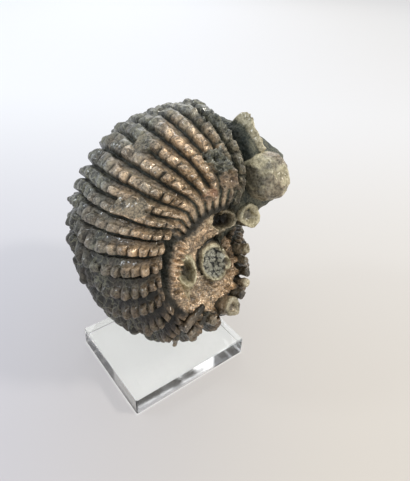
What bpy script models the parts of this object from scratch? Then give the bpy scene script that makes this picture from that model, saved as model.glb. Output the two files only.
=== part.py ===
"""Spiny fossil ammonite standing on a clear block. Metres, +Z up.

The origin is the centre of the block's underside, X along its long side and Y along its short side.
The shell stands on the outside of its last whorl and leans back, so that its near flank looks
towards -Y and a little up. Its coil is described in its own frame: `beta` is the angle back along
the spiral from the last rib, and `s` runs round the whorl's section, 0 on the outer middle line,
WIDEST at the widest place, 1 at the rim of the navel, negative on the far side.
"""
import math

import bmesh
import bpy
import numpy as np

MM = 0.001

# The block
BLOCK_LENGTH = 60.0
BLOCK_WIDTH = 50.0
BLOCK_HEIGHT = 10.0
BLOCK_BEVEL = 0.5
REST_GAP = 0.3

# The coil's place: centre, turn about Z, lean back, and the direction of the last rib
COIL_CENTRE = np.array([19.0, 10.8, 53.5])
COIL_TURN = math.radians(-9.1)
COIL_LEAN = math.radians(15.2)
LAST_RIB = math.radians(77.0)

# The whorl, in millimetres, at these angles back along the spiral
STATIONS = np.radians([-50.0, 0.0, 90.0, 180.0, 270.0, 360.0])
OUTER_RADIUS = np.array([66.0, 62.0, 51.4, 44.4, 28.1, 21.2])
HALF_WIDTH = np.array([37.0, 37.4, 40.9, 33.8, 24.0, 20.0])
WIDEST_RADIUS = np.array([37.5, 35.6, 31.0, 25.6, 13.5, 10.5])
NAVEL_RADIUS = np.array([10.5, 10.5, 10.0, 10.0, 10.0, 9.0])
NAVEL_LEVEL = np.array([28.0, 28.0, 29.0, 26.5, 23.5, 19.5])
NAVEL_MIDDLE_LEVEL = 25.5
NAVEL_SHIFT = (2.0, -3.5)
WIDEST = 0.62
ROUNDNESS = 1.92
FLANK_POWER = 1.6

# Ribs sweep forward towards the navel
SWEEP = -0.68
SWEEP_START = 0.15
SWEEP_END = 0.72

# The gaps between ribs: those by the aperture in degrees back from the last rib, then an even step
YOUNG_GAPS = (0, 7, 14, 21, 29, 37, 46, 55, 62, 69, 77, 88, 99, 112, 126, 143)
OLD_GAP_STEP = 19.8
OLD_RIBS = 9

# Relief, in millimetres
RIB_HEIGHT = 3.6
CREST_DROP = 0.7
KNOB_HEIGHT = 1.3
KNOB_FIRST = 0.06
KNOB_STEP = 0.08
KNOB_COUNT = 8
MIDDLE_DIP = 1.4
FURROW_PLACE = 0.70
FURROW_WIDTH = 0.035
FURROW_DEPTH = 2.4
FLANK_RIB = 0.9
FLANK_RIB_END = 0.9
SPINE_PLACE = 0.69
SPINE_WIDTH = 0.06
SPINE_HEIGHT = 5.5
SPINE_FROM = math.radians(140.0)
SPINE_RISE = math.radians(17.0)
RIB_COLUMNS = np.array([0.0, 0.25, 0.5, 0.75])
SPINE_COLUMNS = np.array([0.0, 0.34, 0.5, 0.66])
FLANK_ROWS = (0.78, 0.89, 1.0)
NAVEL_LIP = 2.2
NAVEL_HOLLOW = 3.5
NAVEL_FOOT = 0.22
NAVEL_FLOOR = 0.60

# The rock past the last rib: its end, how far it lies under the shell, and what stands on it
ROCK_END = math.radians(-36.0)
ROCK_COLUMNS = (-35.0, -30.0, -25.0, -20.0, -15.0, -11.0, -8.0, -4.0)
ROCK_DROP = 4.5
ROCK_SLOPE = 3.0
LUMP_PLACE = (math.radians(-21.0), 0.60)
LUMP_SIZE = (math.radians(17.0), 0.20)
LUMP_BLUNTNESS = 0.4
LUMP_HEIGHT = 8.5
FLAKE_PLACE = (math.radians(-8.0), 0.34)
FLAKE_SIZE = (math.radians(4.0), 0.24)
FLAKE_HEIGHT = 8.5
FACE_STEPS = (0.3, 0.7)
FACE_ROUGHNESS = 0.025
FACE_ROUGHNESS_TURN = 5.0

STEP = 1e-4


def remove_old_objects():
    for old in list(bpy.data.objects):
        bpy.data.objects.remove(old, do_unlink=True)


def material(name, colour, roughness, metallic=0.0, transmission=0.0, ior=1.45):
    made = bpy.data.materials.new(name)
    made.use_nodes = True
    shader = made.node_tree.nodes["Principled BSDF"]
    shader.inputs["Base Color"].default_value = (*colour, 1.0)
    shader.inputs["Roughness"].default_value = roughness
    shader.inputs["Metallic"].default_value = metallic
    shader.inputs["Transmission Weight"].default_value = transmission
    shader.inputs["IOR"].default_value = ior
    return made


def along_spiral(values, beta):
    """Smooth curve through the values at STATIONS: cubic Hermite with central slopes."""
    slopes = np.gradient(values, STATIONS)
    left = np.clip(np.searchsorted(STATIONS, beta) - 1, 0, len(STATIONS) - 2)
    width = STATIONS[left + 1] - STATIONS[left]
    t = (beta - STATIONS[left]) / width
    value = (2 * t**3 - 3 * t**2 + 1) * values[left]
    value += (t**3 - 2 * t**2 + t) * width * slopes[left]
    value += (3 * t**2 - 2 * t**3) * values[left + 1]
    value += (t**3 - t**2) * width * slopes[left + 1]
    return value


def smooth(low, high, x):
    """0 below low, 1 above high, with a smooth rise between."""
    t = np.clip((x - low) / (high - low), 0.0, 1.0)
    return t * t * (3.0 - 2.0 * t)


def bump(x, middle, size):
    """1 at the middle, falling smoothly to 0 at `size` on either side."""
    return 1.0 - smooth(0.0, size, np.abs(x - middle))


def sweep(s):
    """How far a rib has turned at s, in radians: SWEEP times the square of the distance past its start."""
    return SWEEP * (np.clip(np.abs(s), SWEEP_START, SWEEP_END) - SWEEP_START) ** 2


def coil_axes():
    """Unit vectors of the coil: out of the near flank, along X, and up in the coil's plane."""
    flank = np.array([math.sin(COIL_TURN) * math.cos(COIL_LEAN), -math.cos(COIL_TURN) * math.cos(COIL_LEAN),
                      math.sin(COIL_LEAN)])
    up = np.array([0.0, 0.0, 1.0]) - flank * flank[2]
    up /= np.linalg.norm(up)
    return flank, np.cross(-flank, up), up


def section(beta, s):
    """Distance from the axis and height over the middle plane: a superellipse from the outer line to
    the widest place, then a flank that falls away to the rim of the navel."""
    outer = along_spiral(OUTER_RADIUS, beta)
    half = along_spiral(HALF_WIDTH, beta)
    widest = along_spiral(WIDEST_RADIUS, beta)
    navel = along_spiral(NAVEL_RADIUS, beta)
    level = along_spiral(NAVEL_LEVEL, beta)
    turn = np.clip(np.abs(s) / WIDEST, 0.0, 1.0) * math.pi / 2
    inward = np.clip((np.abs(s) - WIDEST) / (1.0 - WIDEST), 0.0, 1.0)
    sine = np.maximum(np.sin(turn), 1e-9) ** (2.0 / ROUNDNESS)
    cosine = np.maximum(np.cos(turn), 0.0) ** (2.0 / ROUNDNESS)
    radius = widest + (outer - widest) * cosine + (navel - widest) * inward
    height = half * sine - (half - level) * inward**FLANK_POWER
    return radius, height * np.sign(s)


def place(beta, radius, height):
    """Coil coordinates to the block's frame."""
    flank, across, up = coil_axes()
    theta = LAST_RIB + beta
    in_plane = (radius * np.cos(theta))[..., None] * across + (radius * np.sin(theta))[..., None] * up
    return COIL_CENTRE + in_plane + height[..., None] * flank


def skin(column, s):
    """The shell without relief; a column follows a rib, so the sweep is added to it."""
    column, s = np.broadcast_arrays(column, s)
    beta = column + sweep(s)
    radius, height = section(beta, s)
    return place(beta, radius, height)


def outward(column, s):
    """Unit normal of the skin, from the cross product of two small steps over it."""
    along = skin(column + STEP, s) - skin(column - STEP, s)
    around = skin(column, np.minimum(s + STEP, 1.0)) - skin(column, np.maximum(s - STEP, -1.0))
    normal = np.cross(along, around)
    return normal / np.linalg.norm(normal, axis=-1, keepdims=True)


def rib_gaps():
    """Columns of all the gaps between ribs, from the last rib back."""
    gaps = list(YOUNG_GAPS)
    gaps += [YOUNG_GAPS[-1] + OLD_GAP_STEP * (rib + 1) for rib in range(OLD_RIBS)]
    return np.radians(gaps)


def rib_phase(column):
    """0 in a gap between ribs, 0.5 on the rib's crest, 1 in the next gap."""
    gaps = rib_gaps()
    count = np.clip(np.searchsorted(gaps, column, side="right") - 1, 0, len(gaps) - 2)
    return np.clip((column - gaps[count]) / (gaps[count + 1] - gaps[count]), 0.0, 1.0)


def relief(column, s):
    """Height over the skin: ribs with rows of knobs, a furrow inside them, and the older side's spines."""
    a = np.abs(s)
    size = along_spiral(OUTER_RADIUS, column) / OUTER_RADIUS[1]
    young = column < SPINE_FROM
    crest = np.sin(math.pi * rib_phase(column))
    ribs = 1.0 - smooth(WIDEST, FURROW_PLACE, a) * np.where(young, 1.0, 0.4)
    knob = 0.5 + 0.5 * np.cos(2.0 * math.pi * (a - KNOB_FIRST) / KNOB_STEP)
    knob = knob * (1.0 - smooth(WIDEST, FURROW_PLACE, a))
    height = RIB_HEIGHT * (crest**0.5 - 1.0) * ribs * size**0.5 - CREST_DROP
    height += KNOB_HEIGHT * crest * (2.0 * knob - 1.0) * ribs
    height -= MIDDLE_DIP * crest * bump(s, 0.0, KNOB_FIRST)
    height -= FURROW_DEPTH * bump(a, FURROW_PLACE, 2.0 * FURROW_WIDTH) * young
    flank_ribs = smooth(WIDEST, FURROW_PLACE, a) * (1.0 - smooth(FURROW_PLACE, FLANK_RIB_END, a))
    height += FLANK_RIB * (crest - 0.5) * flank_ribs * young
    spines = smooth(SPINE_FROM, SPINE_FROM + SPINE_RISE, column) * bump(a, SPINE_PLACE, SPINE_WIDTH)
    height += SPINE_HEIGHT * crest**2 * spines
    height += NAVEL_LIP * smooth(FLANK_ROWS[-2], FLANK_ROWS[-1], a)
    return height


def rock_relief(column, s):
    """Height of the bare rock past the last rib, with a lump and a thin flake of shell on it."""
    height = -ROCK_DROP - ROCK_SLOPE * smooth(0.0, -ROCK_END, -column)
    lump = bump(column, LUMP_PLACE[0], LUMP_SIZE[0]) * bump(s, LUMP_PLACE[1], LUMP_SIZE[1])
    height = height + LUMP_HEIGHT * lump**LUMP_BLUNTNESS
    flake = bump(column, FLAKE_PLACE[0], FLAKE_SIZE[0]) * bump(s, FLAKE_PLACE[1], FLAKE_SIZE[1])
    return height + FLAKE_HEIGHT * flake


def section_rows():
    """Values of s from the near navel rim over the outer line to the far one."""
    knobs = [KNOB_FIRST + KNOB_STEP * 0.5 * half for half in range(2 * KNOB_COUNT - 1)]
    side = knobs + [FURROW_PLACE, *FLANK_ROWS]
    return np.array([*reversed(side), 0.0, *[-value for value in side]])


def shell_columns():
    """Four columns to a rib: the gap, its two flanks and the crest, closer together where spines stand."""
    gaps = rib_gaps()
    old = gaps[:-1, None] > SPINE_FROM
    columns = gaps[:-1, None] + (gaps[1:] - gaps[:-1])[:, None] * np.where(old, SPINE_COLUMNS, RIB_COLUMNS)
    return np.append(columns.ravel(), gaps[-1])


def surface_column(column, rows, height):
    return skin(column, rows) + outward(column, rows) * height(column, rows)[:, None]


def coil_sections():
    """Every section of the coil in order round its axis: the shell, the broken face, then the rock."""
    rows = section_rows()
    shell = [surface_column(np.full_like(rows, column), rows, relief) for column in shell_columns()]
    rock = [surface_column(np.full_like(rows, math.radians(column)), rows, rock_relief) for column in ROCK_COLUMNS]
    face = []
    for number, step in enumerate(FACE_STEPS):
        lumps = FACE_ROUGHNESS * np.sin(FACE_ROUGHNESS_TURN * np.arange(len(rows)) + number)
        blend = shell[-1] * (1.0 - step) + rock[0] * step
        face.append(blend + lumps[:, None] * np.cross(coil_axes()[0], blend - COIL_CENTRE))
    return shell + face + rock


def on_floor(points, middle, flank):
    """Moves points along the flank's normal to the level of the middle point."""
    return points - ((points - middle) @ flank)[:, None] * flank


def navel_rows(sections, side):
    """Inside each rim: the lip's inner foot, a ring on the hollow's floor, and the middle point."""
    flank, across, up = coil_axes()
    flank = flank * side
    floor = NAVEL_MIDDLE_LEVEL - NAVEL_HOLLOW
    middle = COIL_CENTRE + flank * floor + across * NAVEL_SHIFT[0] + up * NAVEL_SHIFT[1]
    rim = np.array([ring[0] if side > 0 else ring[-1] for ring in sections])
    foot = on_floor(rim + (middle - rim) * NAVEL_FOOT, middle, flank)
    inner = on_floor(rim + (middle - rim) * NAVEL_FLOOR, middle, flank)
    return foot, inner, middle


def add_rings(mesh, rings):
    """Vertices for each ring, and quads between each ring and the next, split into triangles."""
    made = [[mesh.verts.new(tuple(point * MM)) for point in ring] for ring in rings]
    count = len(made[0])
    for first, second in zip(made[:-1], made[1:]):
        for i in range(count):
            j = (i + 1) % count
            mesh.faces.new((first[i], first[j], second[j], second[i]))
    return made


def close_with_point(mesh, ring, point, flip):
    """A fan of triangles from a ring to one middle point."""
    middle = mesh.verts.new(tuple(point * MM))
    for i in range(len(ring)):
        j = (i + 1) % len(ring)
        corners = (ring[i], ring[j], middle) if flip else (ring[j], ring[i], middle)
        mesh.faces.new(corners)


def stand_on_block(points):
    """Flattens what would reach below the top of the block, which leaves a small flat spot."""
    points = points.copy()
    points[..., 2] = np.maximum(points[..., 2], BLOCK_HEIGHT + REST_GAP)
    return points


def finish_mesh(name, mesh, skin_material, smooth_shading):
    bmesh.ops.recalc_face_normals(mesh, faces=mesh.faces)
    bmesh.ops.triangulate(mesh, faces=mesh.faces)
    data = bpy.data.meshes.new(name)
    mesh.to_mesh(data)
    mesh.free()
    data.materials.append(skin_material)
    if smooth_shading:
        data.shade_smooth()
    made = bpy.data.objects.new(name, data)
    bpy.context.scene.collection.objects.link(made)
    return made


def ammonite():
    """The whole fossil as one closed skin: rings round the axis, from the near navel to the far one."""
    sections = coil_sections()
    near_foot, near_inner, near_middle = navel_rows(sections, 1.0)
    far_foot, far_inner, far_middle = navel_rows(sections, -1.0)
    body = np.array(sections).transpose(1, 0, 2)
    rings = [near_inner, near_foot, *body, far_foot, far_inner]
    rings = [stand_on_block(ring) for ring in rings]
    mesh = bmesh.new()
    made = add_rings(mesh, rings)
    close_with_point(mesh, made[0], near_middle, True)
    close_with_point(mesh, made[-1], far_middle, False)
    brown = material("fossil_shell", (0.16, 0.115, 0.07), 0.38)
    return finish_mesh("ammonite", mesh, brown, True)


def acrylic_block():
    mesh = bmesh.new()
    bmesh.ops.create_cube(mesh, size=1.0)
    size = (BLOCK_LENGTH * MM, BLOCK_WIDTH * MM, BLOCK_HEIGHT * MM)
    bmesh.ops.scale(mesh, vec=size, verts=mesh.verts)
    bmesh.ops.translate(mesh, vec=(0.0, 0.0, BLOCK_HEIGHT * MM / 2), verts=mesh.verts)
    bmesh.ops.bevel(mesh, geom=mesh.edges, offset=BLOCK_BEVEL * MM, segments=1, affect="EDGES")
    clear = material("clear_acrylic", (0.95, 0.97, 0.96), 0.03, transmission=1.0, ior=1.49)
    return finish_mesh("acrylic_block", mesh, clear, False)


remove_old_objects()
acrylic_block()
ammonite()
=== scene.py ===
"""Ammonite fossil leaning on a clear block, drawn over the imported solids.

Everything is in millimetres until a mesh is made, in the block's frame: the origin is the centre of the
block's underside, X along its long side, +Z up. A point of the shell has three numbers. `column` is the
angle back along the spiral from the last rib, and follows a rib as it sweeps over the whorl. `s` runs
round the whorl's section: 0 on the outer middle line, WIDEST at the widest place, 1 at the navel's rim,
POLE at the navel's middle, negative on the far side. The third is the height over the smooth skin.
"""

import math

import bpy
import numpy as np
from mathutils import Matrix


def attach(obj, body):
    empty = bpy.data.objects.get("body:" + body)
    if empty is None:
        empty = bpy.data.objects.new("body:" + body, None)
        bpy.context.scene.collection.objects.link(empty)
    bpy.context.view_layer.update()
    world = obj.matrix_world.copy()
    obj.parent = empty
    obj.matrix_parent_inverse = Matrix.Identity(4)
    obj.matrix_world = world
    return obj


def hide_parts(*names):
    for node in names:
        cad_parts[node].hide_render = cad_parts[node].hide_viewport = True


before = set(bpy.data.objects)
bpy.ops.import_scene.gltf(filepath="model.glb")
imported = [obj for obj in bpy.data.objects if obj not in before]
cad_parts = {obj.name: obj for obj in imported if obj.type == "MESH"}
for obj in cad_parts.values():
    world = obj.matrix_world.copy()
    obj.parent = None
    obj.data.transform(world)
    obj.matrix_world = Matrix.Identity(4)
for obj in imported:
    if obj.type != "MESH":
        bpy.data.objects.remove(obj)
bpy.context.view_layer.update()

MM = 0.001
BLOCK_TOP = 10.0
REST_GAP = 0.3

# The coil's place: centre, turn about Z, lean back, direction of the last rib
COIL_CENTRE = np.array([19.0, 10.8, 53.5])
COIL_TURN = math.radians(-9.1)
COIL_LEAN = math.radians(15.2)
LAST_RIB = math.radians(77.0)

# The whorl at these angles back along the spiral
STATIONS = np.radians([-50.0, 0.0, 90.0, 180.0, 270.0, 360.0])
OUTER_RADIUS = np.array([66.0, 62.0, 51.4, 44.4, 28.1, 21.2])
HALF_WIDTH = np.array([37.0, 37.4, 40.9, 33.8, 24.0, 20.0])
WIDEST_RADIUS = np.array([37.5, 35.6, 31.0, 25.6, 13.5, 10.5])
NAVEL_RADIUS = np.array([10.5, 10.5, 10.0, 10.0, 10.0, 9.0])
NAVEL_LEVEL = np.array([28.0, 28.0, 29.0, 26.5, 23.5, 19.5])
NAVEL_FLOOR = 22.0
NAVEL_SHIFT = (2.0, -3.5)
WIDEST = 0.62
ROUNDNESS = 1.92
FLANK_POWER = 1.6
SWEEP = -0.68
SWEEP_START = 0.15
SWEEP_END = 0.72
POLE = 1.18

# Ribs: the gaps between them in degrees back from the last rib
YOUNG_GAPS = (0, 7, 14, 21, 29, 37, 46, 55, 62, 69, 77, 88, 99, 112, 126, 143)
OLD_GAP_STEP = 19.8
OLD_RIBS = 9
ROCK_END = -35.0
ROCK_CUT = 0.30
BEAD_FIRST = 0.06
BEAD_STEP = 0.066
FURROW = 0.70

# Heights and depths of the shell's relief, places, widths and steps in s, and the turns in degrees over
# which the relief changes
RIB_DEPTH = 2.1
OLDER_RIB_DEPTH = 1.1
OLDER_RIBS = (50.0, 95.0)
BEAD_HEIGHT = 2.1
SEAM_DEPTH = 0.15
RIDGE_STEP = 0.034
RIDGE_HEIGHT = 0.55
MIDDLE_GROOVE = 1.2
FURROW_DEPTH = 3.3
FURROW_WIDTH = 0.045
FURROW_START = (66.0, 82.0)
FURROW_END = (130.0, 108.0)
SWELL = 0.775
SPINE_PLACE = 0.69
SPINE_HEIGHT = 2.6
OLD_WHORL = (138.0, 155.0)

# The lump and the blade of shell on the rock past the last rib
LUMP_TURN, LUMP_S = -23.0, 0.575
LUMP_RISE, LUMP_SINK, LUMP_POWER = 7.0, 1.2, 3.4
LUMP_ROUNDNESS = 2.6
LUMP_HALF = (7.6, 9.6)
BLADE_TURN = -8.0

# Rows and columns of the surface, and the turns where one patch ends and the next begins
DENSITY = 1.0
NAVEL_ROWS, FLANK_ROWS, OUTER_ROWS = (int(rows * DENSITY) for rows in (34, 78, 190))
FAR_OUTER_ROWS, FAR_FLANK_ROWS, FAR_NAVEL_ROWS = (int(rows * DENSITY) for rows in (70, 28, 9))
YOUNG_COLUMNS, SIDE_COLUMNS = int(300 * DENSITY), int(320 * DENSITY)
OLD_COLUMNS, FACE_COLUMNS = int(280 * DENSITY), int(34 * DENSITY)
YOUNG_END, SIDE_END = 50.0, 143.0
NEAR_ROWS = NAVEL_ROWS + FLANK_ROWS + OUTER_ROWS


def smooth(low, high, x):
    """0 below low, 1 above high, with a smooth rise between."""
    t = np.clip((x - low) / (high - low), 0.0, 1.0)
    return t * t * (3.0 - 2.0 * t)


def bump(x, middle, size):
    """1 at the middle, falling smoothly to 0 at `size` on either side."""
    return 1.0 - smooth(0.0, size, np.abs(x - middle))


def chance(number, salt):
    """A fixed random number from 0 to 1 for each whole number: its bits mixed by products and shifts."""
    mixed = (np.asarray(number).astype(np.int64) * 374761393 + salt * 668265263) & 0x7FFFFFFF
    mixed = ((mixed ^ (mixed >> 13)) * 1274126177) & 0x7FFFFFFF
    return ((mixed ^ (mixed >> 16)) & 0xFFFF) / 65535.0


def grain(points, size, salt):
    """Smooth noise from -1 to 1: random numbers on a cubic lattice with this spacing, blended inside
    each cell by the smoothstep of the place in it."""
    scaled = points / size
    cell = np.floor(scaled).astype(np.int64)
    inside = scaled - cell
    inside = inside * inside * (3.0 - 2.0 * inside)
    total = np.zeros(points.shape[:-1])
    for corner in range(8):
        step = np.array([corner & 1, (corner >> 1) & 1, corner >> 2])
        key = ((cell + step) * np.array([73856093, 19349663, 83492791])).sum(-1)
        total += np.where(step, inside, 1.0 - inside).prod(-1) * chance(key, salt)
    return 2.0 * total - 1.0


def rough(points, size, salt, octaves=3):
    """Several layers of grain, each half as large and half as strong as the one before."""
    return sum(grain(points, size / 2**i, salt + i) / 2**i for i in range(octaves))


def ridged(points, size, salt, octaves=3):
    """Grain folded at 0, so that it makes sharp crests: one minus twice its size, in layers."""
    return sum((1.0 - 2.0 * np.abs(grain(points, size / 2**i, salt + i))) / 2**i for i in range(octaves))


def along_spiral(values, beta):
    """Smooth curve through the values at STATIONS: cubic Hermite with central slopes."""
    slopes = np.gradient(values, STATIONS)
    left = np.clip(np.searchsorted(STATIONS, beta) - 1, 0, len(STATIONS) - 2)
    width = STATIONS[left + 1] - STATIONS[left]
    t = (beta - STATIONS[left]) / width
    value = (2 * t**3 - 3 * t**2 + 1) * values[left]
    value += (t**3 - 2 * t**2 + t) * width * slopes[left]
    value += (3 * t**2 - 2 * t**3) * values[left + 1]
    value += (t**3 - t**2) * width * slopes[left + 1]
    return value


def coil_axes():
    """Unit vectors of the coil: out of the near flank, along X, and up in the coil's plane."""
    flank = np.array([math.sin(COIL_TURN) * math.cos(COIL_LEAN), -math.cos(COIL_TURN) * math.cos(COIL_LEAN),
                      math.sin(COIL_LEAN)])
    up = np.array([0.0, 0.0, 1.0]) - flank * flank[2]
    up /= np.linalg.norm(up)
    return flank, np.cross(-flank, up), up


FLANK, ACROSS, UP = coil_axes()


def skin(column, s):
    """The smooth shell. The section is a superellipse from the outer line to the widest place, a flank
    that falls to the navel's rim, and a floor that closes on the pole; it is turned about the axis by the
    column's angle plus the rib's sweep, which is SWEEP times the square of s past its start."""
    a = np.abs(s)
    beta = column + SWEEP * (np.clip(a, SWEEP_START, SWEEP_END) - SWEEP_START) ** 2
    outer = along_spiral(OUTER_RADIUS, beta)
    half = along_spiral(HALF_WIDTH, beta)
    widest = along_spiral(WIDEST_RADIUS, beta)
    navel = along_spiral(NAVEL_RADIUS, beta)
    level = along_spiral(NAVEL_LEVEL, beta)
    turn = np.clip(a / WIDEST, 0.0, 1.0) * math.pi / 2
    inward = np.clip((a - WIDEST) / (1.0 - WIDEST), 0.0, 1.0)
    inside = np.clip((a - 1.0) / (POLE - 1.0), 0.0, 1.0)
    sine = np.maximum(np.sin(turn), 1e-9) ** (2.0 / ROUNDNESS)
    cosine = np.maximum(np.cos(turn), 0.0) ** (2.0 / ROUNDNESS)
    radius = (widest + (outer - widest) * cosine + (navel - widest) * inward) * (1.0 - inside)
    height = half * sine - (half - level) * inward**FLANK_POWER
    height += (NAVEL_FLOOR - level) * smooth(0.0, 0.6, inside)
    height *= np.sign(s)
    theta = LAST_RIB + beta
    x = radius * np.cos(theta) + NAVEL_SHIFT[0] * inside
    y = radius * np.sin(theta) + NAVEL_SHIFT[1] * inside
    return COIL_CENTRE + x[..., None] * ACROSS + y[..., None] * UP + height[..., None] * FLANK


def outward(column, s):
    """Unit normal of the skin, from the cross product of two small steps over it."""
    step = 1e-3
    s = np.clip(s, -POLE + 4 * step, POLE - 4 * step)
    along = skin(column + step, s) - skin(column - step, s)
    around = skin(column, s + step) - skin(column, s - step)
    normal = np.cross(along, around)
    return normal / np.linalg.norm(normal, axis=-1, keepdims=True)


def rib_gaps():
    """Columns of all the gaps between ribs, from the last rib back, in radians."""
    gaps = list(YOUNG_GAPS)
    gaps += [YOUNG_GAPS[-1] + OLD_GAP_STEP * (rib + 1) for rib in range(OLD_RIBS)]
    return np.radians(gaps)


def rib_place(column):
    """Each column's rib number, and its place across that rib, from 0 to 1."""
    gaps = rib_gaps()
    rib = np.clip(np.searchsorted(gaps, column, side="right") - 1, 0, len(gaps) - 2)
    return rib, np.clip((column - gaps[rib]) / (gaps[rib + 1] - gaps[rib]), 0.0, 1.0)


def rib_shape(phase, young):
    """Height across a rib, 0 in the gaps and 1 on the crest: a short step, a long ramp on the younger
    side, a flat crest and a steep fall on the older side; on the old ribs one even swell."""
    rise = 0.45 * smooth(0.02, 0.12, phase) + 0.55 * smooth(0.10, 0.50, phase)
    fall = smooth(0.985, 0.84, phase)
    return rise * fall * young + smooth(0.06, 0.40, phase) * smooth(0.94, 0.60, phase) * (1.0 - young)


def shell_relief(column, s, base, marks):
    """Height over the skin where shell is left. Ribs carry beads parted by seams. A bead is one minus the
    square of the distance along the rib from its middle, times one minus a higher power of the distance
    across it. Inside the older ribs runs a furrow, and further in the flank is lumpy. Rock fills the
    floors of the gaps."""
    a = np.abs(s)
    degrees = np.degrees(column)
    young = 1.0 - smooth(*OLD_WHORL, degrees)
    wobble = np.radians(1.0) * rough(base, 15.0, 11) * smooth(2.0, 10.0, degrees)
    rib, phase = rib_place(column + wobble)
    outer = smooth(0.24, 0.06, a)
    even = smooth(0.0, 0.20, phase) * smooth(1.0, 0.82, phase)
    body = rib_shape(phase, young) * (1.0 - outer) + even * outer
    furrowed = smooth(*FURROW_START, degrees)
    inner_end = 0.84 + (FURROW - 0.84) * furrowed
    ribs = 1.0 - smooth(inner_end - 0.07, inner_end, a) * (0.55 + 0.45 * young)
    size = (along_spiral(OUTER_RADIUS, column) / OUTER_RADIUS[1]) ** 0.5

    shift = 0.6 * (chance(rib, 3) - 0.5) * (s > 0)
    along = (a - BEAD_FIRST) / BEAD_STEP + shift + 0.22 * rough(base, 9.0, 17)
    number = np.round(along)
    tall = 0.55 + 0.75 * chance(rib * 37 + number, 5)
    off = np.abs(2.0 * (along - number))
    middle, reach = 0.68 - 0.16 * outer - 0.18 * (1.0 - young), 0.30 + 0.20 * outer
    across = np.clip((phase - middle) / reach, -1.0, 1.0)
    bead = (1.0 - off**2.0) * (1.0 - np.abs(across) ** 2.6)
    bead_height = BEAD_HEIGHT + 0.4 * furrowed - 0.8 * smooth(0.30, 0.10, a) * smooth(80.0, 45.0, degrees)
    beads = bead * tall * ribs * (1.0 - smooth(WIDEST, FURROW - 0.01, a))
    outside = 1.0 - smooth(WIDEST, FURROW, a)
    seam = (1.0 - smooth(0.0, 0.42, 1.0 - off)) * smooth(0.25, 0.55, phase) * body * outside

    streaks = np.stack([rib * 5.3 + phase * 1.1, a / RIDGE_STEP, np.sign(s)], -1)
    ridges = ridged(streaks, 1.0, 47, 2) * smooth(0.30, 0.60, phase) * body * ribs * outside
    depth = RIB_DEPTH + OLDER_RIB_DEPTH * smooth(*OLDER_RIBS, degrees)
    detail = bead_height * beads - SEAM_DEPTH * seam + RIDGE_HEIGHT * ridges
    height = (depth * (body - 1.0) * ribs - 1.1) * size + detail * size
    floor = (-1.0 - depth + 0.9 * smooth(0.55, 0.75, a)) * size + 0.25 * rough(base, 3.0, 23)
    filled = smooth(0.35, -0.2, height - floor) * ribs
    height = np.maximum(height, floor) + 0.1 * filled
    height -= MIDDLE_GROOVE * bump(s, 0.0, 0.05) * body

    furrow = bump(a + 0.008 * rough(base, 5.0, 49), FURROW, FURROW_WIDTH) * furrowed
    furrow *= smooth(*FURROW_END, degrees)
    height -= FURROW_DEPTH * furrow
    flank = smooth(inner_end - 0.02, inner_end + 0.04, a) * (1.0 - smooth(1.0, 1.06, a))
    knob = smooth(0.05, 0.45, 0.5 - np.abs((2.0 * phase) % 1.0 - 0.5))
    swell = bump(a, SWELL, 0.07) * (0.2 + 1.5 * knob) * furrowed * young
    wrinkled = ridged(base, 2.2, 37)
    height += flank * (0.3 + 1.5 * swell + 1.1 * rough(base, 4.5, 31) + 0.75 * wrinkled)
    spine = bump(a, SPINE_PLACE, 0.05) * np.maximum(0.0, 1.0 - ((phase - 0.5) / 0.26) ** 2) ** 0.5
    height += SPINE_HEIGHT * spine * (1.0 - young)
    crumbled = smooth(17.0, 7.0, degrees) * smooth(0.12, 0.3, a)
    threads = np.stack([column * 42.0, a * 16.0, np.sign(s)], -1)
    height += crumbled * (1.3 * ridged(threads, 1.0, 45, 2) - 1.0)
    height += 0.15 * rough(base, 1.5, 41) + 0.5 * rough(base, 6.0, 43)

    dark = np.maximum(filled, 0.9 * furrow)
    marks["rock"] = np.maximum(marks["rock"], 0.9 * dark + 0.45 * crumbled * (1.0 - dark))
    # rise sets the gloss, and where it is low, in the gaps between ribs, the seams and the furrow, it darkens
    # the colour as painted shade
    rise = 0.08 + 0.62 * body**0.6 * ribs + 0.30 * beads - 0.32 * seam + 0.26 * ridges
    rise += 0.5 * flank - 0.8 * furrow
    marks["rise"] = np.clip(rise + flank * 0.25 * wrinkled, 0.0, 1.0)
    # Painted shade and painted bluish reflection: the outer and far side turn greyer; the crumbled places add
    # the rock's own grey
    greyer = 1.0 - smooth(0.10, 0.45, s + 0.10 * rough(base, 14.0, 48))
    marks["grey"] = np.clip(greyer + 0.5 * crumbled, 0.0, 1.0)
    # Painted shade: darker over the lower turns of the near side, the lower flank and the outer line
    low = smooth(62.0, 118.0, degrees) * smooth(0.74, 0.60, s)
    low += 0.25 * smooth(0.78, 0.88, s) * smooth(95.0, 150.0, degrees)
    marks["tone"] = np.clip(low + 0.5 * smooth(0.22, 0.0, s), 0.0, 1.0)
    return height


def at_turn(degrees, s):
    """The skin's point and unit normal at this turn back from the last rib, the sweep left out."""
    a = abs(s)
    column = math.radians(degrees) - SWEEP * (min(max(a, SWEEP_START), SWEEP_END) - SWEEP_START) ** 2
    return skin(np.array(column), np.array(s)), outward(np.array(column), np.array(s))


def lump_height(base):
    """Height of the blunt lump: its rise times one minus a power of the distance from its middle, in the
    plane that touches the skin there, less its sink. The distance follows a superellipse."""
    middle, out = at_turn(LUMP_TURN, LUMP_S)
    along = UP - out * (UP @ out)
    along /= np.linalg.norm(along)
    x = np.abs((base - middle) @ np.cross(out, along)) / LUMP_HALF[0]
    y = np.abs((base - middle) @ along) / LUMP_HALF[1]
    away = (x**LUMP_ROUNDNESS + y**LUMP_ROUNDNESS) ** (1.0 / LUMP_ROUNDNESS)
    return LUMP_RISE * (1.0 - np.minimum(away, 1.3) ** LUMP_POWER) - LUMP_SINK


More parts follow.
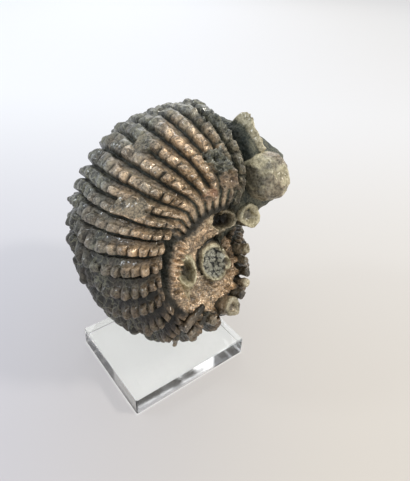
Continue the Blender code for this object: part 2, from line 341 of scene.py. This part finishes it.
def rock_relief(column, s, base, marks):
    """Height of the rock past the last rib: low and smooth in the groove beside the rib, a thin leaning
    blade of shell, a low wedge, and a blunt lump."""
    degrees = np.degrees(column)
    a = np.abs(s)
    height = -5.2 - 2.4 * smooth(0.0, 36.0, -degrees) + 0.5 * rough(base, 6.0, 51)
    height -= 2.6 * bump(degrees, -3.6, 3.6) * smooth(0.74, 0.62, a)
    height += 3.2 * smooth(0.16, 0.30, s) * smooth(0.62, 0.50, s) * smooth(-2.0, -6.0, degrees)
    lump = lump_height(base + 0.8 * rough(base, 7.0, 58)[..., None] * UP)
    lump += 1.1 * rough(base, 6.5, 53) + 0.7 * ridged(base, 3.6, 55)
    on_lump = smooth(-0.3, 0.9, lump - height) * (column < 0) * smooth(0.0, 0.1, s)
    rim = bump(lump - height + 0.8 * rough(base, 3.0, 52), 1.0, 2.2) * on_lump
    height = np.maximum(height, lump) * on_lump + height * (1.0 - on_lump)
    blade_line = BLADE_TURN - 23.0 * (s - 0.22) + 0.5 * rough(base, 4.0, 56)
    blade = bump(degrees, blade_line, 1.9) ** 0.6 * smooth(0.18, 0.23, s) * smooth(0.60, 0.50, s)
    blade *= 1.0 - on_lump
    height += blade * (2.6 + 3.2 * bump(s, 0.25, 0.10) + 0.7 * ridged(base, 3.0, 57))
    height += 0.14 * rough(base, 1.2, 59)
    # Painted highlight: the cream on the lump's rim is kept to its upper side, where light falls on its top
    painted_highlight_side = smooth(0.62, 0.50, s)
    edge = smooth(0.10, 0.40, blade + 0.15 * rough(base, 3.0, 60))
    pale = on_lump * (0.05 + 0.60 * smooth(0.0, 0.7, rough(base, 4.0, 54)))
    # Painted shade: rise falls to 0 in the groove beside the last rib, which darkens the rock there
    own = {"rock": np.clip(1.0 - 0.75 * on_lump - edge, 0.0, 1.0),
           "cream": np.maximum(np.maximum(0.8 * rim * painted_highlight_side, pale), 0.5 * edge),
           "rise": 0.34 - 0.34 * bump(degrees, -4.0, 6.0) + 0.40 * on_lump + 0.60 * edge,
           "grey": 0.55}
    for name, value in own.items():
        marks[name] = np.where(column < 0, value, marks[name])
    return height


# Middle and reach in column and s, level, height of the crust, share of rock colour, share of rust, and
# how light it is
BROKEN_PLACES = (
    ((17.5, 0.50), (7.0, 0.10), -2.2, 2.0, 0.30, 0.0, 0.65),
    ((31.0, 0.70), (8.0, 0.06), -1.6, 1.0, 0.10, 1.0, 0.55),
    ((13.0, 0.66), (8.0, 0.08), -2.6, 1.3, 0.30, 0.3, 0.55),
    ((63.0, 0.37), (5.0, 0.10), -0.9, 0.12, 0.62, 0.0, 0.80),
    ((36.0, 0.20), (4.0, 0.05), -1.0, 0.40, 0.50, 0.0, 0.70),
)


def broken_places(column, s, base, height, marks):
    """Where the shell is gone or crushed: each place is an ellipse in column and s with a ragged edge, in
    which the relief is traded for a crust of sharp crests at its own level."""
    degrees = np.degrees(column)
    ragged = 0.35 * rough(base, 3.5, 61)
    for middle, reach, level, crust, rock, rust, light in BROKEN_PLACES:
        away = np.hypot((degrees - middle[0]) / reach[0], (s - middle[1]) / reach[1]) + ragged
        inside = smooth(1.05, 0.75, away)
        crests = crust * ridged(base, 3.0, 63)
        height = height + (level + crests - height) * inside
        marks["rock"] = marks["rock"] * (1.0 - inside) + rock * inside
        marks["rust"] = np.maximum(marks["rust"], rust * inside)
        marks["rise"] = marks["rise"] * (1.0 - inside) + (light + 0.3 * crests) * inside
        bare = 0.9 * (rust == 0.0) * smooth(0.1, 0.6, crust)
        marks["grey"] = marks["grey"] * (1.0 - inside) + np.maximum(marks["grey"] * 0.6, bare) * inside
    return height


def blank_marks(shape):
    """The marks that colour the fossil, all at 0."""
    names = ("rock", "cream", "pit", "rust", "crystal", "rise", "grey", "tone")
    return {name: np.zeros(shape) for name in names}


def dressed(column, s):
    """Points of the shell and the rock with their relief, and the marks that colour them."""
    base = skin(column, s)
    marks = blank_marks(column.shape)
    shell = shell_relief(column, s, base, marks)
    shell = broken_places(column, s, base, shell, marks)
    rock = rock_relief(column, s, base, marks)
    past = smooth(math.radians(0.2), math.radians(-1.4), column + np.radians(0.8) * rough(base, 5.0, 65))
    height = shell * (1.0 - past) + rock * past
    return base + outward(column, s) * height[..., None], marks


# Round places on the near flank: middle in the coil's plane and level over it, half sizes, turn, rise of
# the rim, depth of the hollow, width of the rim, raggedness, then shares of cream on the rim, dark inside
# and crystal inside
FLANK_RINGS = (
    {"at": (0.9, -3.4), "level": 25.8, "half": (5.7, 7.9), "turn": 12.0, "rim": 1.3, "hollow": 1.0,
     "width": 0.85, "ragged": 0.4, "cream": 1.0, "pit": 0.0, "crystal": 1.0},
    {"at": (6.3, -4.6), "level": 26.2, "half": (1.7, 2.7), "turn": 20.0, "rim": 1.0, "hollow": 0.9,
     "width": 0.75, "ragged": 0.3, "cream": 0.8, "pit": 0.3, "crystal": 0.0},
    {"at": (5.0, 15.2), "level": 27.5, "half": (5.8, 3.8), "turn": -14.0, "rim": 1.4, "hollow": 4.6,
     "width": 1.3, "ragged": 1.3, "cream": 0.35, "pit": 1.0, "crystal": 0.0},
    {"at": (-15.8, -7.6), "level": 30.6, "half": (0.9, 2.4), "turn": 4.0, "rim": 1.6, "hollow": 0.0,
     "width": 2.2, "ragged": 0.6, "cream": 0.4, "pit": 0.0, "crystal": 0.0},
    {"at": (-15.0, -0.4), "level": 31.0, "half": (3.3, 5.5), "turn": 8.0, "rim": 3.0, "hollow": 2.6,
     "width": 2.2, "ragged": 0.6, "cream": 1.3, "pit": 0.7, "crystal": 0.0},
)


def add_flank_rings(points, marks):
    """Trades the surface round each ring for its own: a rim that is a bell curve over the distance from
    the ring's ellipse, and a hollow inside it."""
    away = points - COIL_CENTRE
    level = away @ FLANK
    noise = rough(points, 2.5, 71)
    for ring in FLANK_RINGS:
        x = away @ ACROSS - ring["at"][0]
        y = away @ UP - ring["at"][1]
        turn = math.radians(ring["turn"])
        along = (x * math.cos(turn) + y * math.sin(turn)) / ring["half"][0]
        upward = (y * math.cos(turn) - x * math.sin(turn)) / ring["half"][1]
        size = math.sqrt(ring["half"][0] * ring["half"][1])
        out = (np.hypot(along, upward) - 1.0) * size + ring["ragged"] * noise
        rim = np.exp(-((out / ring["width"]) ** 2))
        hollow = smooth(0.4, -1.4, out)
        crust = ring["crystal"] * (0.5 * ridged(points, 2.2, 73) + 0.35 * ridged(points, 0.9, 77))
        crust += ring["pit"] * 0.9 * ridged(points, 3.0, 79)
        target = ring["level"] + ring["rim"] * rim - ring["hollow"] * hollow + crust * hollow + 0.2 * noise
        near = smooth(3.2, 0.6, out) * (level > 5.0)
        points = points + FLANK * ((target - level) * near)[..., None]
        level = level + (target - level) * near
        marks["cream"] = np.maximum(marks["cream"] * (1.0 - near), ring["cream"] * rim * near)
        marks["pit"] = np.maximum(marks["pit"] * (1.0 - near), ring["pit"] * hollow * near)
        marks["crystal"] = np.maximum(marks["crystal"], ring["crystal"] * hollow * near)
        marks["rock"] = marks["rock"] * (1.0 - near)
        marks["rise"] = marks["rise"] * (1.0 - near) + near * (0.45 + 0.4 * rim)
    return points


def stand_on_block(points):
    """Flattens what would reach below the top of the block."""
    points[..., 2] = np.maximum(points[..., 2], BLOCK_TOP + REST_GAP)
    return points


def whole_fossil():
    """Rows of points round the coil for every s, near pole first, with their marks. The columns run over
    the rock, the shell back to its start, and the broken face that joins the two, which is a straight
    blend of both edges with a rough surface."""
    rows = np.concatenate([np.linspace(POLE, 1.0, NAVEL_ROWS, endpoint=False),
                           np.linspace(1.0, WIDEST, FLANK_ROWS, endpoint=False),
                           np.linspace(WIDEST, 0.0, OUTER_ROWS, endpoint=False),
                           np.linspace(0.0, -WIDEST, FAR_OUTER_ROWS, endpoint=False),
                           np.linspace(-WIDEST, -1.0, FAR_FLANK_ROWS, endpoint=False),
                           np.linspace(-1.0, -POLE, FAR_NAVEL_ROWS)])
    rows[0] = POLE - 1e-4
    rows[-1] = -POLE + 1e-4
    end = YOUNG_GAPS[-1] + OLD_GAP_STEP * OLD_RIBS
    degrees = np.concatenate([np.linspace(ROCK_END, YOUNG_END, YOUNG_COLUMNS, endpoint=False),
                              np.linspace(YOUNG_END, SIDE_END, SIDE_COLUMNS, endpoint=False),
                              np.linspace(SIDE_END, end, OLD_COLUMNS)])
    column, s = np.meshgrid(np.radians(degrees), rows)
    column = np.where(column < 0.0, column * (1.0 - ROCK_CUT * smooth(0.62, 0.80, s)), column)
    points, marks = dressed(column, s)

    blend = (np.arange(FACE_COLUMNS) + 1.0) / (FACE_COLUMNS + 1.0)
    start, stop = points[:, -1:], points[:, :1]
    face = start + (stop - start) * blend[:, None]
    across = np.cross(FLANK, face - COIL_CENTRE)
    across /= np.linalg.norm(across, axis=-1, keepdims=True) + 1e-6
    depth = 1.6 * rough(face, 9.0, 81) + 0.5 * ridged(face, 3.0, 83)
    fade = np.sin(math.pi * blend) ** 0.5
    face = face + across * (depth * fade)[..., None]
    points = np.concatenate([points, face], axis=1)
    for name, value in marks.items():
        plain = {"rock": 0.8, "rise": 0.45, "grey": 0.5}.get(name, 0.0)
        marks[name] = np.concatenate([value, np.full(face.shape[:2], plain)], axis=1)
    points = add_flank_rings(points, marks)
    return stand_on_block(points), marks


def strip_faces(rows, columns, closed):
    """Two triangles for each cell of a grid, whose last column may join its first."""
    i, j = np.meshgrid(np.arange(rows - 1), np.arange(columns if closed else columns - 1), indexing="ij")
    right = (j + 1) % columns
    a, b, c, d = i * columns + j, i * columns + right, (i + 1) * columns + right, (i + 1) * columns + j
    return np.concatenate([np.stack([a, b, c], -1).reshape(-1, 3), np.stack([a, c, d], -1).reshape(-1, 3)])


def make_piece(name, points, faces, marks, material):
    """A smooth-shaded mesh object from points in millimetres and triangles, with its marks as attributes."""
    data = bpy.data.meshes.new(name)
    data.vertices.add(len(points))
    data.vertices.foreach_set("co", (points * MM).ravel())
    data.loops.add(faces.size)
    data.loops.foreach_set("vertex_index", faces.ravel().astype(np.int32))
    data.polygons.add(len(faces))
    data.polygons.foreach_set("loop_start", np.arange(0, faces.size, 3, dtype=np.int32))
    data.update(calc_edges=True)
    data.shade_smooth()
    for mark, values in marks.items():
        layer = data.attributes.new(mark, "FLOAT", "POINT")
        layer.data.foreach_set("value", np.ascontiguousarray(values, dtype=np.float32).ravel())
    data.materials.append(material)
    made = bpy.data.objects.new(name, data)
    bpy.context.scene.collection.objects.link(made)
    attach(made, "root")
    return made


def patch(points, marks, rows, columns, material, name, pole):
    """One piece of the fossil: these rows and columns of the whole, with a middle point at a pole."""
    part = points[rows][:, columns]
    shades = {mark: values[rows][:, columns].ravel() for mark, values in marks.items()}
    closed = len(columns) == points.shape[1]
    faces = strip_faces(part.shape[0], part.shape[1], closed)
    flat = part.reshape(-1, 3)
    if pole:
        ring = np.arange(part.shape[1]) + (0 if pole > 0 else (part.shape[0] - 1) * part.shape[1])
        ring_next = np.roll(ring, -1) if closed else ring[1:]
        ring = ring if closed else ring[:-1]
        middle = np.full(len(ring), len(flat))
        fan = (ring_next, ring, middle) if pole > 0 else (ring, ring_next, middle)
        faces = np.concatenate([faces, np.stack(fan, -1)])
        edge = points[0 if pole > 0 else -1]
        flat = np.concatenate([flat, edge.mean(0, keepdims=True)])
        shades = {mark: np.append(values, values[0 if pole > 0 else -1]) for mark, values in shades.items()}
    return make_piece(name, flat, faces[:, ::-1], shades, material)


def over(degrees, s, height):
    """A point over the skin at this turn, s and height."""
    base, normal = at_turn(degrees, s)
    return base + normal * height


def beside(x, y, level):
    """A point at this place in the coil's plane and level over it."""
    return COIL_CENTRE + x * ACROSS + y * UP + level * FLANK


# Stumps of broken spines: where each starts and ends, the radius there, the depth of the hollow in its
# end, how round its end is, and the shares of cream, dark and rock colour
STUMPS = (
    (beside(16.8, 13.4, 19.0), beside(17.8, 14.8, 30.0), 4.6, 5.1, 2.6, 0.25, 0.8, 0.0, 0.1),
    (over(277.0, 0.60, -3.0), over(278.0, 0.58, 7.4), 2.5, 1.9, 0.7, 0.70, 0.30, 0.1, 0.3),
    (over(261.0, 0.60, -3.0), over(259.0, 0.60, 5.0), 2.3, 1.7, 0.4, 0.80, 0.05, 0.6, 0.3),
    (over(245.0, 0.60, -3.0), over(244.0, 0.60, 4.8), 2.3, 1.8, 0.3, 0.80, 0.0, 0.9, 0.2),
    (over(232.0, 0.60, -3.0), over(230.0, 0.60, 4.8), 2.1, 1.7, 0.5, 0.80, 0.35, 0.0, 0.0),
    (over(219.0, 0.61, -3.0), over(217.0, 0.60, 4.2), 2.4, 1.8, 0.3, 0.80, 0.0, 0.9, 0.2),
    (over(197.0, 0.66, -3.5), over(201.0, 0.64, 4.4), 5.0, 4.4, 2.0, 0.40, 0.45, 0.35, 0.0),
    (over(176.0, 0.66, -3.5), over(178.0, 0.62, 2.4), 3.0, 2.2, 0.4, 0.70, 0.0, 0.5, 0.3),
    (over(164.0, 0.77, -0.6), over(148.0, 0.57, 1.6), 2.1, 2.2, 0.5, 0.50, 0.0, 0.75, 0.0),
    (over(171.0, 0.68, -0.6), over(159.0, 0.50, 1.4), 1.9, 2.0, 1.0, 0.40, 0.1, 0.6, 0.0),
    (over(152.0, 0.50, -2.0), over(158.0, 0.37, 2.4), 1.6, 1.2, 0.9, 0.35, 0.4, 0.2, 0.0),
)
STUMP_ROWS, STUMP_SIDES = 44, 48
# Where a stump's side ends, its rim turns over and its hollow begins, as shares of its rows
STUMP_STATIONS = (0.0, 0.5, 0.6, 0.66, 0.72, 0.8, 1.0)


def stump(begin, stop, first, last, hollow, roundness):
    """A turned stump on the line from begin to stop: its radius runs from first to last up the side,
    turns over a rounded rim and falls into the hollow, and grain roughens it."""
    axis = stop - begin
    length = np.linalg.norm(axis)
    axis /= length
    side = np.cross(axis, (0.0, 0.0, 1.0))
    side /= np.linalg.norm(side)
    t = np.linspace(0.0, 1.0, STUMP_ROWS)[:, None]
    turn = np.linspace(0.0, 2.0 * math.pi, STUMP_SIDES, endpoint=False)[None]
    edge = roundness * last
    radii = (first, last, last - 0.08 * edge, last - 0.5 * edge, last - edge, (last - edge) * 0.6, 0.02)
    rises = (0.0, length - edge, length - 0.3 * edge, length, length - 0.2 * edge, length - hollow,
             length - hollow)
    radius = np.interp(t, STUMP_STATIONS, radii)
    rise = np.interp(t, STUMP_STATIONS, rises)
    oval = 1.0 + 0.10 * np.cos(2.0 * turn + first) + 0.05 * np.cos(3.0 * turn)
    upright = np.cross(side, axis)
    ring = np.cos(turn)[..., None] * side + np.sin(turn)[..., None] * upright
    middle = begin + axis * rise[..., None]
    points = middle + ring * (radius * oval)[..., None]
    shake = 0.65 * rough(points, 2.6, 91) * np.minimum(1.0, radius / 1.5)
    away = (points - middle) / (np.linalg.norm(points - middle, axis=-1, keepdims=True) + 1e-6)
    lift = 0.35 * rough(points, 2.0, 95) * smooth(0.3, 0.6, t)
    points = points + away * shake[..., None] + axis * lift[..., None]
    return points, t + 0.0 * turn


def broken_spines(material):
    """All the stumps in one piece, each closed by a point at both ends."""
    points, faces, marks, count = [], [], blank_marks((0,)), 0
    for *shape, cream, dark, rock in STUMPS:
        grid, t = stump(*shape)
        flat = np.concatenate([grid.reshape(-1, 3), grid[:1].mean(1), grid[-1:].mean(1)])
        cells = strip_faces(STUMP_ROWS, STUMP_SIDES, True)
        ring = np.arange(STUMP_SIDES)
        low = np.stack([np.roll(ring, -1), ring, np.full(STUMP_SIDES, STUMP_ROWS * STUMP_SIDES)], -1)
        top = ring + (STUMP_ROWS - 1) * STUMP_SIDES
        high = np.stack([top, np.roll(top, -1), np.full(STUMP_SIDES, STUMP_ROWS * STUMP_SIDES + 1)], -1)
        points.append(stand_on_block(flat))
        faces.append(np.concatenate([cells, low, high]) + count)
        count += len(flat)
        height = np.append(t.ravel(), [0.0, 1.0])
        own = {"rock": np.full(len(flat), rock),
               "cream": cream * (bump(height, 0.64, 0.2) ** 0.5 + 0.3 * smooth(0.75, 0.85, height)),
               "pit": dark * smooth(0.1, 0.4, height) + 0.35 * smooth(0.76, 0.84, height),
               "rise": 0.3 + 0.5 * smooth(0.1, 0.5, height), "grey": np.full(len(flat), 0.4)}
        for mark in marks:
            marks[mark] = np.append(marks[mark], own.get(mark, np.zeros(len(flat))))
    return make_piece("broken_spines", np.concatenate(points), np.concatenate(faces), marks, material)


class Socket:
    """A material socket with arithmetic: each operation adds a Math node."""

    def __init__(self, maker, socket):
        self.maker = maker
        self.socket = socket

    def math(self, operation, *others):
        values = {0: self, **dict(enumerate(others, 1))}
        return self.maker.node("ShaderNodeMath", {"operation": operation}, values)

    def __add__(self, other):
        return self.math("ADD", other)

    __radd__ = __add__

    def __sub__(self, other):
        return self.math("SUBTRACT", other)

    def __rsub__(self, other):
        return self.maker.node("ShaderNodeMath", {"operation": "SUBTRACT"}, {0: other, 1: self})

    def __mul__(self, other):
        return self.math("MULTIPLY", other)

    __rmul__ = __mul__

    def clamp(self):
        return self.maker.node("ShaderNodeClamp", {}, {"Value": self})

    def ramp(self, low, high):
        """0 at low, 1 at high, smoothly."""
        return self.maker.node("ShaderNodeMapRange", {"interpolation_type": "SMOOTHSTEP"},
                               {"Value": self, "From Min": low, "From Max": high})


class Finish:
    """A material being built: one Principled shader and whatever feeds it."""

    def __init__(self, name, **constants):
        self.material = bpy.data.materials.new(name)
        self.material.use_nodes = True
        self.tree = self.material.node_tree
        self.shader = self.tree.nodes["Principled BSDF"]
        for key, value in constants.items():
            self.shader.inputs[key.replace("_", " ")].default_value = value

    def node(self, kind, settings, values, output=0):
        made = self.tree.nodes.new(kind)
        for key, value in settings.items():
            setattr(made, key, value)
        for key, value in values.items():
            self.feed(made.inputs[key], value)
        return Socket(self, made.outputs[output])

    def feed(self, target, value):
        if isinstance(value, Socket):
            self.tree.links.new(value.socket, target)
        elif isinstance(value, tuple) and len(value) == 3 and len(target.default_value) == 4:
            target.default_value = (*value, 1.0)
        else:
            target.default_value = value

    def place(self):
        return self.node("ShaderNodeTexCoord", {}, {}, "Object")

    def along(self, axis):
        """The place along one axis, in metres."""
        return self.node("ShaderNodeSeparateXYZ", {}, {"Vector": self.place()}, axis)

    def mark(self, name):
        settings = {"attribute_type": "GEOMETRY", "attribute_name": name}
        return self.node("ShaderNodeAttribute", settings, {}, "Fac")

    def noise(self, scale, detail=3.0, roughness=0.55):
        values = {"Vector": self.place(), "Scale": scale, "Detail": detail, "Roughness": roughness}
        return self.node("ShaderNodeTexNoise", {}, values)

    def wander(self, scale):
        """A noise for each axis, as one vector."""
        values = {"Vector": self.place(), "Scale": scale, "Detail": 2.0}
        return self.node("ShaderNodeTexNoise", {}, values, "Color")

    def cells(self, scale, feature="F1", place=None):
        values = {"Vector": place or self.place(), "Scale": scale}
        return self.node("ShaderNodeTexVoronoi", {"feature": feature}, values, "Distance")

    def mix(self, factor, first, second):
        """A blend of two colours. A Mix node set to colours has its factor, both colours and its result
        at these sockets."""
        return self.node("ShaderNodeMix", {"data_type": "RGBA"}, {0: factor, 6: first, 7: second}, 2)

    def bump(self, height, distance, strength):
        values = {"Strength": strength, "Distance": distance, "Height": height}
        return self.node("ShaderNodeBump", {}, values)

    def shade(self, **links):
        for key, value in links.items():
            self.feed(self.shader.inputs[key.replace("_", " ")], value)
        return self.material


def fossil_finish():
    """Brown shell with a pearly gloss over its crests, greyer on the outer side, olive and grey-green rock in
    its hollows, pale threads, cream where spines broke off, and crystals in the navel. Painted shade darkens
    the low gaps, the deepest rock, the lower left and the outer line, and the grey of the outer side is
    painted shade and painted bluish reflection."""
    make = Finish("weathered_shell", Coat_Roughness=0.14, Coat_IOR=1.7, IOR=1.5, Specular_IOR_Level=0.25)
    rock, cream, pit, rust = (make.mark(name) for name in ("rock", "cream", "pit", "rust"))
    crystal, rise, grey, tone = (make.mark(name) for name in ("crystal", "rise", "grey", "tone"))
    broad = make.noise(60.0, 3.0)
    middle = make.noise(260.0, 4.0, 0.6)
    fine = make.noise(1200.0, 3.0, 0.65)
    warped = make.node("ShaderNodeVectorMath", {"operation": "MULTIPLY_ADD"},
                       {0: make.wander(400.0), 1: (0.004, 0.004, 0.004), 2: make.place()})
    thread = 1 - make.cells(280.0, "DISTANCE_TO_EDGE", warped).ramp(0.01, 0.09)

    spots = (0.5 * middle + 0.5 * fine).ramp(0.38, 0.61)
    brown = make.mix(spots, (0.175, 0.118, 0.066), (0.90, 0.635, 0.385))
    ashen = make.mix(spots, (0.060, 0.060, 0.048), (0.31, 0.305, 0.245))
    # Grey mixes in ashen: painted shade and painted bluish reflection on the outer and far side, the rock's
    # own grey where it crumbled or is bare
    shell = make.mix((grey * 1.0 + (broad - 0.44) * 1.8).clamp(), brown, ashen)
    # Painted shade: darker towards the lower left and along the outer line
    shell = make.mix((tone * (1.25 - 0.5 * rise)).clamp(), shell, (0.010, 0.007, 0.004))
    # Painted shade: the shell goes near black where it lies low, between ribs, between beads and in the
    # furrow
    painted_gap_shade = make.mix((1 - rise).ramp(0.08, 0.75) * 0.97, shell, (0.016, 0.015, 0.010))
    olive = make.mix(spots, (0.030, 0.038, 0.032), (0.190, 0.185, 0.130))
    # Painted shade: the rock goes darker still where it lies lowest
    olive = make.mix((1 - rise).ramp(0.60, 1.0) * 0.8, olive, (0.012, 0.018, 0.016))
    colour = make.mix(rock, painted_gap_shade, olive)
    worn = thread * broad.ramp(0.40, 0.54) * (0.35 + 0.65 * grey) * rise.ramp(0.2, 0.6)
    colour = make.mix(worn * 0.40, colour, (0.42, 0.40, 0.26))
    colour = make.mix(rust * middle.ramp(0.35, 0.55), colour, (0.36, 0.20, 0.11))
    pale = make.mix(spots, (0.38, 0.33, 0.19), (0.74, 0.67, 0.46))
    colour = make.mix((cream * 1.5 * middle.ramp(0.22, 0.45)).clamp(), colour, pale)
    sparkle = make.mix(make.cells(650.0).ramp(0.42, 0.75), (0.46, 0.45, 0.36), (0.04, 0.04, 0.034))
    colour = make.mix(crystal, colour, sparkle)
    colour = make.mix((pit * 0.85).clamp(), colour, (0.014, 0.012, 0.008))

    gloss = (rise * (1 - rock * 0.8) * (1 - cream * 0.7) * (1 - tone * 0.55) * (1 - grey * 0.3)).clamp()
    roughness = 0.54 - 0.28 * gloss + 0.25 * (fine - 0.5)
    relief = (fine * 0.6 + make.cells(620.0) * 0.75) * (1 - gloss * 0.72) + middle * 0.8
    return make.shade(Base_Color=colour, Roughness=roughness, Coat_Weight=gloss * 0.95, Metallic=gloss * 0.55,
                      Normal=make.bump(relief, 0.0010, 0.9))


def acrylic_finish():
    """Clear cast acrylic: polished faces with faint rub marks, and duller sides."""
    make = Finish("clear_acrylic_polished", IOR=1.49, Transmission_Weight=1.0,
                  Base_Color=(0.985, 0.995, 0.99, 1.0))
    rubbed = make.noise(420.0, 3.0).ramp(0.55, 0.8)
    x, y = make.along("X").math("ABSOLUTE"), make.along("Y").math("ABSOLUTE")
    side = x.ramp(0.0292, 0.0298).math("MAXIMUM", y.ramp(0.0242, 0.0248))
    return make.shade(Roughness=0.01 + 0.05 * rubbed + 0.16 * side)


def floor_finish():
    """Near-white matt paper with painted light: bluer to the left, warmer to the right, lighter away from the
    camera. Part of its light is its own, a painted glow, so that shadows stay as faint as on paper lit from
    all round, and more of it under the clear block, a painted pool of light where light gathers."""
    make = Finish("pale_surface", Roughness=0.9, Emission_Strength=0.68)
    x, y = make.along("X"), make.along("Y")
    right, away = 0.77 * x - 0.64 * y, 0.64 * x + 0.77 * y
    # Painted light: bluer to the left, warmer to the right, lighter away from the camera
    near = make.mix(right.ramp(-0.12, 0.10), (0.495, 0.49, 0.53), (0.57, 0.53, 0.475))
    far = make.mix(right.ramp(-0.40, 0.45), (0.735, 0.755, 0.79), (0.655, 0.645, 0.635))
    painted_light_tint = make.mix(away.ramp(-0.12, 0.40), near, far)
    # Painted light: the paper glows brighter under the clear block, a painted pool of light
    under = x.math("ABSOLUTE").ramp(0.031, 0.029) * y.math("ABSOLUTE").ramp(0.026, 0.024)
    own = make.mix(under, painted_light_tint, (1.0, 1.0, 0.98))
    return make.shade(Base_Color=make.mix(0.49, painted_light_tint, (0.0, 0.0, 0.0)), Emission_Color=own)


def make_floor():
    """A flat square, a tenth of a millimetre under the block."""
    data = bpy.data.meshes.new("floor")
    reach, level = 4.0, -1e-4
    corners = [(x * reach, y * reach, level) for x, y in ((-1, -1), (1, -1), (1, 1), (-1, 1))]
    data.from_pydata(corners, [], [(0, 1, 2, 3)])
    data.materials.append(floor_finish())
    made = bpy.data.objects.new("floor", data)
    bpy.context.scene.collection.objects.link(made)


def make_camera():
    """The photograph's camera: its place, pitch, azimuth and roll, and its focal length in image widths."""
    pitch, roll, azimuth = 0.619, 0.066, -0.695
    level = np.array([-math.sin(azimuth), math.cos(azimuth), 0.0])
    right_level = np.array([math.cos(azimuth), math.sin(azimuth), 0.0])
    forward = math.cos(pitch) * level - math.sin(pitch) * np.array([0.0, 0.0, 1.0])
    up_level = np.cross(right_level, forward)
    right = math.cos(roll) * right_level + math.sin(roll) * up_level
    up = -math.sin(roll) * right_level + math.cos(roll) * up_level
    lens = bpy.data.cameras.new("camera")
    lens.sensor_fit = "HORIZONTAL"
    lens.sensor_width = 36.0
    lens.lens = 36.0 * 440.0 / 410.0
    lens.clip_start = 0.01
    lens.clip_end = 50.0
    made = bpy.data.objects.new("camera", lens)
    turn = Matrix([(*row,) for row in np.stack([right, up, -forward], axis=1)])
    made.matrix_world = Matrix.Translation((-0.081835, -0.125075, 0.173010)) @ turn.to_4x4()
    bpy.context.scene.collection.objects.link(made)
    bpy.context.scene.camera = made


def add_light(name, place, target, size, power, colour):
    """A square area light at a place, turned to a target."""
    lamp = bpy.data.lights.new(name, "AREA")
    lamp.shape = "SQUARE"
    lamp.size = size
    lamp.energy = power
    lamp.color = colour
    made = bpy.data.objects.new(name, lamp)
    place, target = np.array(place), np.array(target)
    back = (place - target) / np.linalg.norm(place - target)
    side = np.cross((0.0, 0.0, 1.0), back)
    side /= np.linalg.norm(side)
    turn = Matrix([(*row,) for row in np.stack([side, np.cross(back, side), back], axis=1)])
    made.matrix_world = Matrix.Translation(place) @ turn.to_4x4()
    bpy.context.scene.collection.objects.link(made)


def make_lights():
    """A pale studio: even light from all round, a small warm window, a wide one behind and a cool one at
    the left."""
    bpy.context.scene.view_settings.view_transform = "Standard"
    world = bpy.data.worlds.new("studio")
    bpy.context.scene.world = world
    world.use_nodes = True
    sky = world.node_tree.nodes["Background"]
    sky.inputs["Color"].default_value = (0.92, 0.95, 1.0, 1.0)
    sky.inputs["Strength"].default_value = 0.78
    middle = (0.02, 0.01, 0.06)
    add_light("window", (0.50, -0.52, 0.80), middle, 0.13, 4.6, (1.0, 0.95, 0.88))
    add_light("window_back", (0.75, 0.95, 0.80), middle, 1.0, 4.6, (1.0, 0.99, 0.97))
    add_light("window_left", (-0.75, 0.55, 0.75), middle, 0.16, 2.2, (0.86, 0.93, 1.0))


def main():
    """Builds the fossil in five pieces and gives the block its material."""
    shell = fossil_finish()
    points, marks = whole_fossil()
    total = points.shape[1]
    near, far = np.arange(NEAR_ROWS + 1), np.arange(NEAR_ROWS, points.shape[0])
    young = np.arange(YOUNG_COLUMNS + 1)
    side = np.arange(YOUNG_COLUMNS, YOUNG_COLUMNS + SIDE_COLUMNS + 1)
    old = np.append(np.arange(YOUNG_COLUMNS + SIDE_COLUMNS, total), 0)
    pieces = [patch(points, marks, near, young, shell, "last_ribs", 1),
              patch(points, marks, near, side, shell, "side_ribs", 1),
              patch(points, marks, near, old, shell, "old_ribs", 1)]
    pieces.append(patch(points, marks, far, np.arange(total), shell, "far_side", -1))
    pieces.append(broken_spines(shell))
    for piece in pieces:
        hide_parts("ammonite")
    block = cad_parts["acrylic_block"]
    block.data.materials[0] = acrylic_finish()


make_camera()
make_floor()
make_lights()
main()
